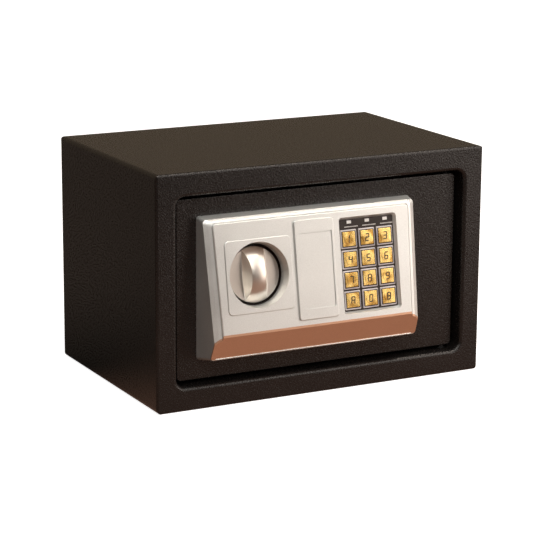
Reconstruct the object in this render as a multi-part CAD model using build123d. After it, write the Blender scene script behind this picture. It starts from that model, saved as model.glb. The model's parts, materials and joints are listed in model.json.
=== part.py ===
from build123d import *
import math
import os

# Small electronic home safe. Millimetres, +X right as seen from the front, +Y to the rear, +Z up.
# The origin is the centre of the body's underside.

os.makedirs("parts", exist_ok=True)

# ---------------------------------------------------------------- driving dimensions: body
WIDTH = 310.0
DEPTH = 200.0
HEIGHT = 200.0
SHEET = 1.5
FRONT_Y = -DEPTH / 2
REAR_Y = DEPTH / 2

OPEN_HALF = 136.5  # half width of the door opening
OPEN_LOW = 20.0
OPEN_HIGH = HEIGHT - 20.0
TOP_EDGE_R = 3.6  # folded edges of the body
BOTTOM_EDGE_R = 5.0
FRONT_EDGE_R = 2.2
REAR_EDGE_R = 1.8
JAMB_DEPTH = 24.0  # how far the frame turns in behind the front face
LIP_RADIUS = 3.0
OPEN_CORNER = 8.0

ANCHOR_HOLE_R = 5.0
FLOOR_HOLE_SPACING = 150.0
WALL_HOLE_SPACING = 150.0
WALL_HOLE_Z = 120.0
REAR_PANEL_MARGIN = 2.2
MAT_THICK = 3.0
MAT_GAP = 6.5

RUNNING = 0.05  # radial clearance of every turning or sliding fit
CUT = 1.0  # how far a cutter runs past the surface that it opens

# ---------------------------------------------------------------- driving dimensions: door
DOOR_THICK = 3.0
DOOR_FRONT_Y = FRONT_Y + 9.0
DOOR_BACK_Y = DOOR_FRONT_Y + DOOR_THICK
DOOR_LEFT = -OPEN_HALF + 3.5
DOOR_RIGHT = OPEN_HALF - 4.0
DOOR_LOW = OPEN_LOW + 3.5
DOOR_HIGH = OPEN_HIGH - 3.5
DOOR_CORNER = 4.0
DOOR_EDGE_R = 0.8

HINGE_X = 126.0
HINGE_Y = -84.0
PIN_R = 3.0
BUSH_WALL = 1.5
BUSH_LONG = 5.0
BRACKET_Z = 71.5  # height of each hinge bracket's tab above or below the door's middle
BRACKET_THICK = 3.0

MECH_LEFT = -125.0
MECH_RIGHT = 118.0
MECH_LOW = 26.0
MECH_HIGH = 174.0
MECH_BACK_Y = -50.0
MECH_SHEET = 1.2
POST_PLACES = [(-108.0, 162.0), (106.0, 162.0), (-108.0, 38.0), (106.0, 38.0)]
POST_R = 4.0
SCREW_R = 2.0
SCREW_HEAD_R = 3.8
SCREW_HEAD_HIGH = 2.2

# ---------------------------------------------------------------- driving dimensions: bezel
# a wedge on the door whose face leans back
BEZEL_LEFT = -115.0
BEZEL_RIGHT = 86.5
BEZEL_LOW = 40.0
BEZEL_HIGH = 161.3
BEZEL_DRAFT = 0.163  # sideways slope of the side walls per unit of height off the door
EDGE_TOP_Z = 159.6  # upper front edge of the wedge
EDGE_TOP_OUT = 8.9
EDGE_LOW_Z = 61.7  # lower front edge of the wedge
EDGE_LOW_OUT = 25.3
STRIP_LOW_Z = 43.8  # lower edge of the sloping strip
STRIP_LOW_OUT = 20.1
STRIP_EDGE_RISE = 2.2  # how far the strip's upper edge stands above the wedge's front edge
STRIP_THICK = 1.0
STRIP_LIP = 1.0  # width of the plain edge left below the strip
BEZEL_WALL = 2.4
BEZEL_CORNER_R = 3.0
FACE_MID_Z = 109.95
FACE_Z = 3.4  # how far the middle of the face stands out from the wedge's front edge
# rim of the face, from its edge inwards: inset at the sides, inset at the top, level, corner radius
RIM_STEPS = [
    (0.0, 0.0, 0.0, 3.5),
    (3.6, 1.6, 1.5, 3.5),
    (6.3, 3.0, 2.2, 3.0),
]
RAISED_LEVEL = 1.5
RAISED_INSET = 6.9
RAISED_TOP_INSET = 3.6
RAISED_R = 3.0
SHOULDER_R = 1.1
BOSS_PLACES = [(-104.0, 148.0), (76.0, 148.0), (-103.0, 52.0), (75.0, 52.0)]
BOSS_R = 4.0
BOSS_SCREW_R = 1.6

# ---------------------------------------------------------------- driving dimensions: knob
KNOB_X = -67.4
KNOB_T = 1.2  # height above the middle of the face, measured along the face
KNOB_R = 23.2
KNOB_RIM_DEPTH = 9.9
KNOB_SKIRT = 3.6
KNOB_RISE = 10.5
KNOB_PLATE = 61.0
KNOB_PLATE_RISE = 0.7
BAR_FOOT = 11.0  # half width of the grip bar at its foot, in the middle
BAR_END = 9.5  # half width of the grip bar at its foot, at the knob's rim
BAR_SLOPE = 0.52  # how much the bar's sides lean in per unit of height
SCOOP_LEVEL = 0.4  # level of the flats beside the bar, above the rim
SCOOP_R = 1.4
BOWL_R = 27.2
BOWL_LOW_R = 25.4
BOWL_DEPTH = 10.9
BOWL_FLOOR = 14.0
BOWL_WALL = 1.8
SEAT_THICK = 1.2
SHAFT_R = 5.0
SHAFT_BUSH_R = 7.5
CRANK_LEVEL = -36.0
CRANK_THICK = 4.0
CRANK_R = 13.0
CRANK_HUB_R = 9.0
CRANK_EYE_R = 5.5
CRANK_PIN_R = 3.0
CRANK_PIN_LONG = 8.5
CRANK_SLOT_PLAY = 0.7
KNOB_TURN = 90.0
CARRIAGE_TRAVEL = 2 * CRANK_R * math.sin(math.radians(KNOB_TURN / 2))

# ---------------------------------------------------------------- driving dimensions: keypad
KEY_NAMES = [["1", "2", "3"], ["4", "5", "6"], ["7", "8", "9"], ["a", "0", "b"]]
KEY_COLUMNS = 3
KEY_ROWS = 4
KEY_PITCH_X = 17.35
KEY_PITCH_T = 17.2
KEY_MID_X = 37.0
KEY_MID_T = -3.6
KEY_FRAME_W = 15.2
KEY_FRAME_H = 15.8
KEY_CAP = 12.2
KEY_GAP = 0.5
KEY_BOSS_R = 4.4
KEY_BOSS_RISE = 0.35
KEY_TOP = 1.3
KEY_TRAVEL = 0.8
KEY_FLANGE = 1.2
FRAME_HIGH = 1.1
WINDOW_X = 37.7
WINDOW_T = 0.1
WINDOW_W = 55.5
WINDOW_H = 81.4
WINDOW_SLOPE = 1.9
WINDOW_FLOOR_W = WINDOW_W - 2 * WINDOW_SLOPE
WINDOW_FLOOR_H = WINDOW_H - 2 * WINDOW_SLOPE
KEYPAD_DEPTH = 2.9
PLATE_LEVEL = FACE_Z - KEYPAD_DEPTH
PLATE_THICK = 1.8
FLANGE_LEVEL = PLATE_LEVEL - PLATE_THICK - 0.1
MAT_LEVEL = FLANGE_LEVEL - KEY_FLANGE - KEY_TRAVEL - 0.3
DOME_MAT_THICK = 1.0
PAD_BOARD_THICK = 1.4
PAD_BACK_LEVEL = MAT_LEVEL - DOME_MAT_THICK - PAD_BOARD_THICK
LED_T = 36.4
LED_SHIFT = 1.5
LED_W = 4.2
LED_H = 2.6

# ---------------------------------------------------------------- driving dimensions: override lock
COVER_X = -14.5
COVER_T = 0.9
COVER_W = 37.0
COVER_H = 83.4
COVER_OUT = 1.5
COVER_PANEL_W = 30.0
COVER_PANEL_H = 63.4
COVER_PANEL_DEPTH = 0.7
COVER_GROOVE_W = 0.9  # groove across the top of the thumb panel
COVER_GROOVE_DEPTH = 1.2
CLIP_T = 34.0
LOCK_Z = 111.0
LOCK_FRONT_Y = -105.0
LOCK_HEAD_R = 11.0
LOCK_THREAD_R = 9.0
LOCK_BACK_Y = -70.0
PLUG_R = 6.0
PLUG_BACK_Y = -66.5
CAM_BACK_Y = -64.0

# ---------------------------------------------------------------- driving dimensions: bolt work
BOLT_R = 8.0
BOLT_Y = -66.0
BOLT_ZS = (70.0, 138.0)
BOLT_TIP_X = -126.0
BOLT_END_X = -96.0
BOLT_STUB_R = 4.0
GUIDE_X0 = -121.0
GUIDE_X1 = -118.0
CARRIAGE_Y0 = -64.2
CARRIAGE_Y1 = -61.2
CARRIAGE_LOW = 60.0
CARRIAGE_HIGH = 148.0
CARRIAGE_RIGHT = -44.0
GUIDE_POST_X = -88.0
GUIDE_POST_ZS = (90.0, 127.0)
GUIDE_POST_R = 3.0
TOOTH_X = -54.8
TOOTH_W = 7.0
TOOTH_LONG = 6.0
SOLENOID_X = -60.0
SOLENOID_Y = -63.5
SOLENOID_HALF = 13.0
SOLENOID_LOW = 30.0
SOLENOID_HIGH = 50.0
SOLENOID_FRONT_Y = -74.5
SOLENOID_BACK_Y = -53.0
SOLENOID_SHEET = 2.0
COIL_R = 9.0
PLUNGER_R = 4.0
PLUNGER_TOP = 53.0

# ---------------------------------------------------------------- driving dimensions: electronics
BOARD_Y0 = -72.0
BOARD_Y1 = -70.4
BATTERY_X0 = 24.0
BATTERY_X1 = 88.0
BATTERY_Z0 = 36.0
BATTERY_Z1 = 102.0
BATTERY_FLOOR_Y = -70.0
BATTERY_WALL = 1.6
BATTERY_LID_DEEP = 2.2
CELL_R = 7.25
CELL_LONG = 50.5
CELL_PITCH = 15.4
CELL_NUB_R = 2.7
CELL_NUB_LONG = 1.2
CONTACT_THICK = 0.5
CONTACT_HALF = 6.0
CELL_Y = BATTERY_FLOOR_Y + BATTERY_WALL + CELL_R + 0.2
RESET_X = 100.0
RESET_Z = 148.0
RESET_HALF = 6.0
RESET_STEM_R = 2.0
RESET_CAP_R = 3.3
HARNESS_HOLE_X = 34.0
HARNESS_HOLE_Z = 118.0
HARNESS_HOLE_R = 6.0
KEYPAD_LEAD_R = 2.2
THIN_LEAD_R = 1.2

# ---------------------------------------------------------------- lines and planes of the leaning face
face_low = Vector(0, DOOR_FRONT_Y - EDGE_LOW_OUT, EDGE_LOW_Z)
face_high = Vector(0, DOOR_FRONT_Y - EDGE_TOP_OUT, EDGE_TOP_Z)
FACE_UP = (face_high - face_low).normalized()
FACE_OUT = Vector(0, -FACE_UP.Z, FACE_UP.Y)
FACE_MID = face_low + (face_high - face_low) * ((FACE_MID_Z - EDGE_LOW_Z) / (EDGE_TOP_Z - EDGE_LOW_Z))
TOP_T = (EDGE_TOP_Z - FACE_MID_Z) / FACE_UP.Z
FAR = 200.0  # larger than any part of the door
KNOB_RIM = FACE_Z - KNOB_RIM_DEPTH  # level of the knob's rim
KNOB_BACK = KNOB_RIM - KNOB_SKIRT
SEAT_TOP = KNOB_RIM - 0.1  # below this level the bowl is a separate dark seat
SEAT_FLOOR = FACE_Z - BOWL_FLOOR


def face_plane(x=0.0, t=0.0, level=0.0):
    """Plane on the bezel's face: local x is +X, local y runs up the face, local z points out.

    The level is measured from the wedge's front edge.
    """
    origin = FACE_MID + FACE_UP * t + FACE_OUT * level
    return Plane(origin=(x, origin.Y, origin.Z), x_dir=(1, 0, 0), z_dir=FACE_OUT)


def on_face(sketch, x, t, low, high):
    """Prism of a sketch, standing on the face between two levels."""
    return extrude(face_plane(x, t, low) * sketch, high - low)


def cone_on_face(r_low, r_high, low, high):
    """Cone on the knob's axis between two levels."""
    lower = face_plane(KNOB_X, KNOB_T, low) * Circle(r_low)
    upper = face_plane(KNOB_X, KNOB_T, high) * Circle(r_high)
    return loft([lower, upper], ruled=True)


def outermost(shape):
    """Edges of the face that stands furthest out along the leaning face's normal."""
    return shape.faces().sort_by(Axis((0, 0, 0), FACE_OUT))[-1].edges()


def axis_point(level):
    """Point on the knob's axis."""
    p = FACE_MID + FACE_UP * KNOB_T + FACE_OUT * level
    return Vector(KNOB_X, p.Y, p.Z)


def crank_point(angle, level):
    """Point on the crank circle; the angle is measured from straight up the face towards +X."""
    a = math.radians(angle)
    side = Vector(1, 0, 0) * (CRANK_R * math.sin(a))
    return axis_point(level) + side + FACE_UP * (CRANK_R * math.cos(a))


def key_place(column, row):
    x = KEY_MID_X + (column - 1) * KEY_PITCH_X
    t = KEY_MID_T + (1.5 - row) * KEY_PITCH_T
    return x, t


def key_places():
    return [key_place(column, row) for column in range(KEY_COLUMNS) for row in range(KEY_ROWS)]


# ---------------------------------------------------------------- helpers
def span(x0, x1, y0, y1, z0, z1):
    """Box between two corners."""
    box = Box(x1 - x0, y1 - y0, z1 - z0)
    return box.moved(Location(((x0 + x1) / 2, (y0 + y1) / 2, (z0 + z1) / 2)))


def rod(radius, start, end):
    """Cylinder between two points."""
    a = Vector(*start)
    axis = Vector(*end) - a
    plane = Plane(origin=a, z_dir=axis.normalized())
    return extrude(plane * Circle(radius), axis.length)


def rod_y(radius, x, z, y0, y1):
    return rod(radius, (x, y0, z), (x, y1, z))


def rod_x(radius, y, z, x0, x1):
    return rod(radius, (x0, y, z), (x1, y, z))


def rod_z(radius, x, y, z0, z1):
    return rod(radius, (x, y, z0), (x, y, z1))


def half_space(plane):
    """Large block on the outer side of a plane."""
    return extrude(plane * Rectangle(3 * FAR, 3 * FAR), FAR)


def largest(shape):
    return sorted(shape.solids(), key=lambda s: s.volume)[-1]


def save(name, shape):
    pieces = shape if isinstance(shape, list) else [shape]
    solids = [s for piece in pieces for s in piece.solids()]
    whole = solids[0] if len(solids) == 1 else Compound(children=solids)
    export_step(whole, f"parts/{name}.step")


# ---------------------------------------------------------------- body
def rounded_corners(sketch, low_r, high_r, inset):
    """Rounds a rectangle's two low corners and its two high corners."""
    flat = fillet(sketch.vertices().group_by(Axis.Y)[0], low_r - inset)
    return fillet(flat.vertices().sort_by(Axis.Y)[-2:], max(high_r - inset, 0.6))


def rounded_block(inset):
    """The body's block, shrunk by inset, with folded edges: tight along the top, wider at the bottom."""
    width = WIDTH - 2 * inset
    depth = DEPTH - 2 * inset
    height = HEIGHT - 2 * inset
    mid_z = HEIGHT / 2
    front_view = Plane(origin=(0, DEPTH / 2, mid_z), x_dir=(1, 0, 0), z_dir=(0, -1, 0))
    front = rounded_corners(Rectangle(width, height), BOTTOM_EDGE_R, TOP_EDGE_R, inset)
    top_view = Plane(origin=(0, 0, 0), x_dir=(1, 0, 0), z_dir=(0, 0, 1))
    top = rounded_corners(Rectangle(width, depth), FRONT_EDGE_R, REAR_EDGE_R, inset)
    side_view = Plane(origin=(-WIDTH / 2, 0, mid_z), x_dir=(0, 0, -1), z_dir=(1, 0, 0))
    side = rounded_corners(Rectangle(height, depth), FRONT_EDGE_R, REAR_EDGE_R, inset)
    block = extrude(front_view * front, DEPTH) & extrude(top_view * top, HEIGHT)
    return block & extrude(side_view * side, WIDTH)


def jamb_sketch(grow):
    """Outline of the door opening, grown by some distance, on the front face."""
    plane = Plane(origin=(0, FRONT_Y, (OPEN_LOW + OPEN_HIGH) / 2), x_dir=(1, 0, 0), z_dir=(0, 1, 0))
    width = 2 * (OPEN_HALF + grow)
    height = OPEN_HIGH - OPEN_LOW + 2 * grow
    return plane * RectangleRounded(width, height, OPEN_CORNER + grow)


def soften_lip(shell):
    """Rounds the lip of the opening: backs it with solid sheet first, then fillets it."""
    ring = extrude(jamb_sketch(LIP_RADIUS), LIP_RADIUS + SHEET) - extrude(jamb_sketch(0), JAMB_DEPTH)
    shell = shell + ring
    lip = shell.faces().sort_by(Axis.Y)[0].inner_wires()[0].edges()
    return fillet(lip, LIP_RADIUS)


def rear_panel_block(y0, y1):
    half = WIDTH / 2 - REAR_PANEL_MARGIN
    return span(-half, half, y0, y1, REAR_PANEL_MARGIN, HEIGHT - REAR_PANEL_MARGIN)


def make_body_shell():
    shell = rounded_block(0) - rounded_block(SHEET)
    # door jamb: the frame turned in round the opening
    shell = shell + extrude(jamb_sketch(SHEET), JAMB_DEPTH)
    shell = shell - extrude(jamb_sketch(0), JAMB_DEPTH + CUT)
    shell = soften_lip(shell)
    shell = shell - rear_panel_block(REAR_Y - SHEET - CUT, REAR_Y + CUT)
    for x in (-FLOOR_HOLE_SPACING / 2, FLOOR_HOLE_SPACING / 2):
        shell = shell - rod_z(ANCHOR_HOLE_R, x, 0, -CUT, SHEET + CUT)
    # seats of the hinge bushes in the jamb
    shell = shell - rod_z(PIN_R + BUSH_WALL, HINGE_X, HINGE_Y, OPEN_HIGH - CUT, OPEN_HIGH + SHEET + CUT)
    shell = shell - rod_z(PIN_R + BUSH_WALL, HINGE_X, HINGE_Y, OPEN_LOW - SHEET - CUT, OPEN_LOW + CUT)
    return shell


def make_rear_panel():
    panel = rear_panel_block(REAR_Y - SHEET, REAR_Y)
    for x in (-WALL_HOLE_SPACING / 2, WALL_HOLE_SPACING / 2):
        panel = panel - rod_y(ANCHOR_HOLE_R, x, WALL_HOLE_Z, REAR_Y - SHEET - CUT, REAR_Y + CUT)
    return panel


def make_hinge_bushes():
    bushes = []
    for way, face in ((1, OPEN_HIGH), (-1, OPEN_LOW)):
        body = rod_z(PIN_R + BUSH_WALL, HINGE_X, HINGE_Y, face, face + way * BUSH_LONG)
        flange = rod_z(PIN_R + 2 * BUSH_WALL, HINGE_X, HINGE_Y, face + way * SHEET, face + way * 2 * SHEET)
        bore = rod_z(PIN_R + RUNNING, HINGE_X, HINGE_Y, face - way * CUT, face + way * (BUSH_LONG + CUT))
        bushes.append(body + flange - bore)
    return bushes


def make_floor_mat():
    half = WIDTH / 2 - MAT_GAP
    mat = span(-half, half, FRONT_Y + MAT_GAP, REAR_Y - MAT_GAP, SHEET, SHEET + MAT_THICK)
    for x in (-FLOOR_HOLE_SPACING / 2, FLOOR_HOLE_SPACING / 2):
        mat = mat - rod_z(ANCHOR_HOLE_R + 2, x, 0, 0, SHEET + MAT_THICK + CUT)
    return mat


# ---------------------------------------------------------------- door structure
def through_door(radius, x, z):
    """Cutter for a hole through the door plate."""
    return rod_y(radius, x, z, DOOR_FRONT_Y - CUT, DOOR_BACK_Y + CUT)


def make_door_plate():
    middle = ((DOOR_LEFT + DOOR_RIGHT) / 2, DOOR_FRONT_Y, (DOOR_LOW + DOOR_HIGH) / 2)
    outline = RectangleRounded(DOOR_RIGHT - DOOR_LEFT, DOOR_HIGH - DOOR_LOW, DOOR_CORNER)
    plate = extrude(Plane(origin=middle, x_dir=(1, 0, 0), z_dir=(0, 1, 0)) * outline, DOOR_THICK)
    plate = fillet(plate.faces().sort_by(Axis.Y)[0].edges(), DOOR_EDGE_R)
    plate = plate - rod(SHAFT_BUSH_R, axis_point(-12), axis_point(-26))
    plate = plate - through_door(HARNESS_HOLE_R, HARNESS_HOLE_X, HARNESS_HOLE_Z)
    plate = plate - through_door(LOCK_THREAD_R, COVER_X, LOCK_Z)
    for x, z in BOSS_PLACES:
        plate = plate - through_door(BOSS_SCREW_R + 0.2, x, z)
    return plate


def make_spindle_bush():
    """Flanged sleeve in the door plate, on the knob's leaning axis."""
    sleeve = rod(SHAFT_BUSH_R, axis_point(-13.5), axis_point(-25))
    flange = rod(SHAFT_R + 6, axis_point(-22.2), axis_point(-25))
    flange = flange - span(-FAR, FAR, DOOR_FRONT_Y - FAR, DOOR_BACK_Y, 0, FAR)
    bore = rod(SHAFT_R + RUNNING, axis_point(-8), axis_point(-30))
    return sleeve + flange - bore


def hinge_bracket_zs():
    middle = (OPEN_LOW + OPEN_HIGH) / 2
    return ((1, middle + BRACKET_Z), (-1, middle - BRACKET_Z))


def make_hinge_brackets():
    """Angle brackets on the back of the door: a web beside the pin and a tab that holds it."""
    brackets = []
    for way, z in hinge_bracket_zs():
        tab_low = z - BRACKET_THICK / 2
        web_low = z - 18 if way > 0 else tab_low
        web = span(HINGE_X - 7.5, HINGE_X - 4, DOOR_BACK_Y, HINGE_Y, web_low, web_low + 19.5)
        tab = span(HINGE_X - 7.5, DOOR_RIGHT - 1, DOOR_BACK_Y, HINGE_Y + 6, tab_low, tab_low + BRACKET_THICK)
        brackets.append(web + tab - rod_z(PIN_R, HINGE_X, HINGE_Y, z - BRACKET_THICK, z + BRACKET_THICK))
    return brackets


def make_hinge_pins():
    pins = []
    for way, z in hinge_bracket_zs():
        reach = (OPEN_HIGH if way > 0 else OPEN_LOW) + way * BUSH_LONG
        shoulder = z - way * BRACKET_THICK / 2
        pin = rod_z(PIN_R, HINGE_X, HINGE_Y, shoulder, reach)
        head = rod_z(PIN_R + 0.9, HINGE_X, HINGE_Y, shoulder - way * 2, shoulder)
        pins.append(pin + head)
    return pins


def make_bolt_guide():
    """Angle welded to the door with two holes that guide the locking bolts."""
    low = BOLT_ZS[0] - 2 * BOLT_R
    high = BOLT_ZS[1] + 2 * BOLT_R
    guide = span(GUIDE_X0, GUIDE_X1, DOOR_BACK_Y, -55.5, low, high)
    guide = guide + span(GUIDE_X1, GUIDE_X1 + 9, DOOR_BACK_Y, DOOR_BACK_Y + 3, low, high)
    for z in BOLT_ZS:
        guide = guide - rod_x(BOLT_R + 2 * RUNNING, BOLT_Y, z, GUIDE_X0 - CUT, GUIDE_X1 + CUT)
    return guide


def through_cover(radius, x, z):
    """Cutter for a hole in the back of the mechanism cover."""
    return rod_y(radius, x, z, MECH_BACK_Y - 3, MECH_BACK_Y + CUT)


def make_mechanism_cover():
    """Sheet-metal tray over the works on the back of the door."""
    outer = span(MECH_LEFT, MECH_RIGHT, DOOR_BACK_Y, MECH_BACK_Y, MECH_LOW, MECH_HIGH)
    outer = fillet(outer.edges().filter_by(Axis.Y), 4)
    outer = fillet(outer.faces().sort_by(Axis.Y)[-1].edges(), 2)
    inner = span(MECH_LEFT + MECH_SHEET, MECH_RIGHT - MECH_SHEET, DOOR_BACK_Y - CUT, MECH_BACK_Y - MECH_SHEET,
                 MECH_LOW + MECH_SHEET, MECH_HIGH - MECH_SHEET)
    inner = fillet(inner.edges().filter_by(Axis.Y), 3)
    cover = outer - inner
    for z in BOLT_ZS:
        cover = cover - rod_x(BOLT_R + 1, BOLT_Y, z, MECH_LEFT - CUT, MECH_LEFT + 3)
    cover = cover - span(BATTERY_X0, BATTERY_X1, MECH_BACK_Y - 3, MECH_BACK_Y + CUT, BATTERY_Z0, BATTERY_Z1)
    cover = cover - through_cover(RESET_CAP_R + 0.3, RESET_X, RESET_Z)
    for x, z in POST_PLACES:
        cover = cover - through_cover(SCREW_R + 0.1, x, z)
    return cover


def make_cover_posts():
    posts = []
    for x, z in POST_PLACES:
        post = rod_y(POST_R, x, z, DOOR_BACK_Y, MECH_BACK_Y - MECH_SHEET)
        posts.append(post - rod_y(SCREW_R, x, z, DOOR_BACK_Y, MECH_BACK_Y - MECH_SHEET))
    return posts


def make_cover_screws():
    """Round-headed screws with a cross slot."""
    screws = []
    for x, z in POST_PLACES:
        shank = rod_y(SCREW_R, x, z, MECH_BACK_Y - 10, MECH_BACK_Y)
        head = rod_y(SCREW_HEAD_R, x, z, MECH_BACK_Y, MECH_BACK_Y + SCREW_HEAD_HIGH)
        head = fillet(head.edges().sort_by(Axis.Y)[-1], 1.2)
        y0 = MECH_BACK_Y + 1
        y1 = MECH_BACK_Y + 3
        slot = span(x - 0.5, x + 0.5, y0, y1, z - 2.2, z + 2.2) + span(x - 2.2, x + 2.2, y0, y1, z - 0.5, z + 0.5)
        screws.append(shank + head - slot)
    return screws


def make_bezel_screws():
    screws = []
    for x, z in BOSS_PLACES:
        shank = rod_y(BOSS_SCREW_R, x, z, DOOR_FRONT_Y - 5, DOOR_BACK_Y)
        screws.append(shank + rod_y(BOSS_SCREW_R + 1.9, x, z, DOOR_BACK_Y, DOOR_BACK_Y + 2))
    return screws


# ---------------------------------------------------------------- bezel
def side_x(out, inset):
    """Left and right edges of the wedge at a height off the door."""
    return BEZEL_LEFT + BEZEL_DRAFT * out + inset, BEZEL_RIGHT - BEZEL_DRAFT * out - inset


def wedge(inset, front_drop, back_y):
    """Wedge between the door and the leaning face, shrunk by inset, with drafted sides."""
    low = face_low - FACE_OUT * front_drop
    high = face_high - FACE_OUT * front_drop - FACE_UP * inset
    face_slope = FACE_UP.Y / FACE_UP.Z
    under_slope = (STRIP_LOW_Z - BEZEL_LOW) / STRIP_LOW_OUT
    base_z = BEZEL_LOW + inset
    # where the face, carried on downwards, meets the underside
    reach = face_slope * (base_z + under_slope * DOOR_FRONT_Y - low.Z)
    meet_y = (low.Y + reach) / (1 + face_slope * under_slope)
    meet_z = base_z + under_slope * (DOOR_FRONT_Y - meet_y)
    outline = Polyline(
        (0, back_y, BEZEL_HIGH - inset),
        (0, high.Y, high.Z),
        (0, meet_y, meet_z),
        (0, back_y, base_z),
        close=True,
    )
    side = extrude(make_face(outline), FAR, dir=(1, 0, 0), both=True)
    far = 60
    left, right = side_x(0, inset)
    far_left, far_right = side_x(far, inset)
    plan = Polyline(
        (left, DOOR_FRONT_Y, 0),
        (right, DOOR_FRONT_Y, 0),
        (far_right, DOOR_FRONT_Y - far, 0),
        (far_left, DOOR_FRONT_Y - far, 0),
        close=True,
    )
    return side & extrude(make_face(plan), 250, dir=(0, 0, 1))


def face_outline(inset, top_inset, level, radius):
    """Rounded outline of the wedge's face, set in by inset, on the plane at a level above its edge.

    It runs past the lower edge, where the sloping strip cuts it off.
    """
    top = TOP_T - top_inset
    low = -62.0
    lean = (EDGE_LOW_OUT - EDGE_TOP_OUT) / (2 * TOP_T)
    out_low = EDGE_TOP_OUT + lean * (TOP_T - low)
    top_left, top_right = side_x(EDGE_TOP_OUT, inset)
    low_left, low_right = side_x(out_low, inset)
    flat = make_face(Polyline((top_left, top), (top_right, top), (low_right, low), (low_left, low), close=True))
    flat = fillet(flat.vertices().sort_by(Axis.Y)[-2:], radius)
    return face_plane(0, 0, level) * flat


def strip_line():
    """Lower and upper ends of the sloping strip, in side view."""
    low = Vector(0, DOOR_FRONT_Y - STRIP_LOW_OUT, STRIP_LOW_Z)
    return low, face_low + FACE_OUT * STRIP_EDGE_RISE


def strip_plane():
    """Plane of the sloping strip: local z points out of the housing."""
    low, high = strip_line()
    along = (high - low).normalized()
    return Plane(origin=low, x_dir=(1, 0, 0), z_dir=Vector(0, -along.Z, along.Y))


def strip_slab():
    """Everything within the strip's thickness, above the plain edge."""
    low, high = strip_line()
    length = (high - low).length + 30
    sheet = strip_plane().offset(-STRIP_THICK) * Pos(0, length / 2 + STRIP_LIP) * Rectangle(2 * FAR, length)
    return extrude(sheet, STRIP_THICK + 5)


def is_corner(edge):
    """Edges of the wedge that run out from the door at its four corners."""
    return abs(edge.tangent_at(0.5).Y) > 0.9 and abs(edge.center().X) > 60


def make_bezel_blank():
    """Outside shape of the housing and its strip, solid."""
    base = wedge(0, 0, DOOR_FRONT_Y)
    base = fillet(base.edges().filter_by(is_corner), BEZEL_CORNER_R)
    for lower, upper in zip(RIM_STEPS, RIM_STEPS[1:]):
        base = base + loft([face_outline(*lower), face_outline(*upper)], ruled=True)
    # groove between the outer ring and the raised middle of the face
    inset, top_inset, _, radius = RIM_STEPS[-1]
    ring = extrude(face_outline(inset, top_inset, RAISED_LEVEL + 0.1, radius), 3)
    raised = face_outline(RAISED_INSET, RAISED_TOP_INSET, RAISED_LEVEL, RAISED_R)
    middle = extrude(raised, FACE_Z - RAISED_LEVEL)
    base = base - (ring - extrude(raised, 4)) + fillet(outermost(middle), SHOULDER_R)
    return base - half_space(strip_plane()) - span(-FAR, FAR, DOOR_FRONT_Y, 0, 0, 250)


def cavity():
    """Space inside the housing."""
    hollow = wedge(BEZEL_WALL, BEZEL_WALL, DOOR_FRONT_Y + CUT)
    behind_face = face_outline(9.5, 6.6, -BEZEL_WALL - 1, 2.0)
    hollow = hollow + extrude(behind_face, BEZEL_WALL + 1 + PLATE_LEVEL)
    return hollow - half_space(strip_plane().offset(-BEZEL_WALL))


def bowl(grow, level_low):
    """Round bowl that the knob stands in, grown by some distance."""
    foot = FACE_Z - BOWL_DEPTH
    skirt = on_face(Circle(BOWL_LOW_R + grow), KNOB_X, KNOB_T, level_low, foot)
    return cone_on_face(BOWL_LOW_R + grow, BOWL_R + grow, foot, FACE_Z + 0.01) + skirt


def bowl_band(low, high):
    """The bowl's outer form between two levels."""
    return bowl(BOWL_WALL, low) & on_face(Rectangle(2 * FAR, FAR), 0, 0, low, high)


def make_knob_seat():
    """Dark dish that closes the bowl below the knob's rim."""
    dish = bowl_band(SEAT_FLOOR - SEAT_THICK, SEAT_TOP) - bowl(0, SEAT_FLOOR)
    return dish - rod(SHAFT_R + 0.6, axis_point(-2), axis_point(-20))


def keypad_window():
    """Cutter for the window over the keypad, with sloping sides."""
    floor = RectangleRounded(WINDOW_FLOOR_W, WINDOW_FLOOR_H, 1.2)
    low = face_plane(WINDOW_X, WINDOW_T, PLATE_LEVEL) * floor
    high = face_plane(WINDOW_X, WINDOW_T, FACE_Z + 0.01) * RectangleRounded(WINDOW_W, WINDOW_H, 3.2)
    return loft([low, high], ruled=True)


def make_bezel_housing(blank):
    body = blank - cavity()
    # raised square round the bowl
    plate = on_face(RectangleRounded(KNOB_PLATE, KNOB_PLATE, 4), KNOB_X + 0.3, KNOB_T - 0.4,
                    FACE_Z - 1, FACE_Z + KNOB_PLATE_RISE)
    body = body + fillet(outermost(plate), 0.5)
    body = body + bowl_band(SEAT_TOP, FACE_Z)
    body = body - bowl(0, SEAT_FLOOR) - cone_on_face(BOWL_R, BOWL_R + 0.3, FACE_Z, FACE_Z + 1)
    # screw bosses down to the door
    inside = wedge(1.0, 1.0, DOOR_FRONT_Y)
    for x, z in BOSS_PLACES:
        boss = rod_y(BOSS_R, x, z, DOOR_FRONT_Y, DOOR_FRONT_Y - 30) & inside
        body = body + boss - rod_y(BOSS_SCREW_R, x, z, DOOR_FRONT_Y + CUT, DOOR_FRONT_Y - 5)
    body = body - keypad_window()
    # mouth of the override lock and the two clip slots of its cover
    body = body - on_face(RectangleRounded(27, 44, 3), COVER_X, COVER_T, -12, FACE_Z + 2)
    for t in (-CLIP_T, CLIP_T):
        body = body - on_face(RectangleRounded(10, 3, 0.8), COVER_X, COVER_T + t, -6, FACE_Z + 2)
    return largest(body - strip_slab())


def make_trim_strip(blank):
    """Coloured strip let into the sloping lower side of the housing, wrapping onto both ends."""
    return largest(blank & strip_slab())


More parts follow.
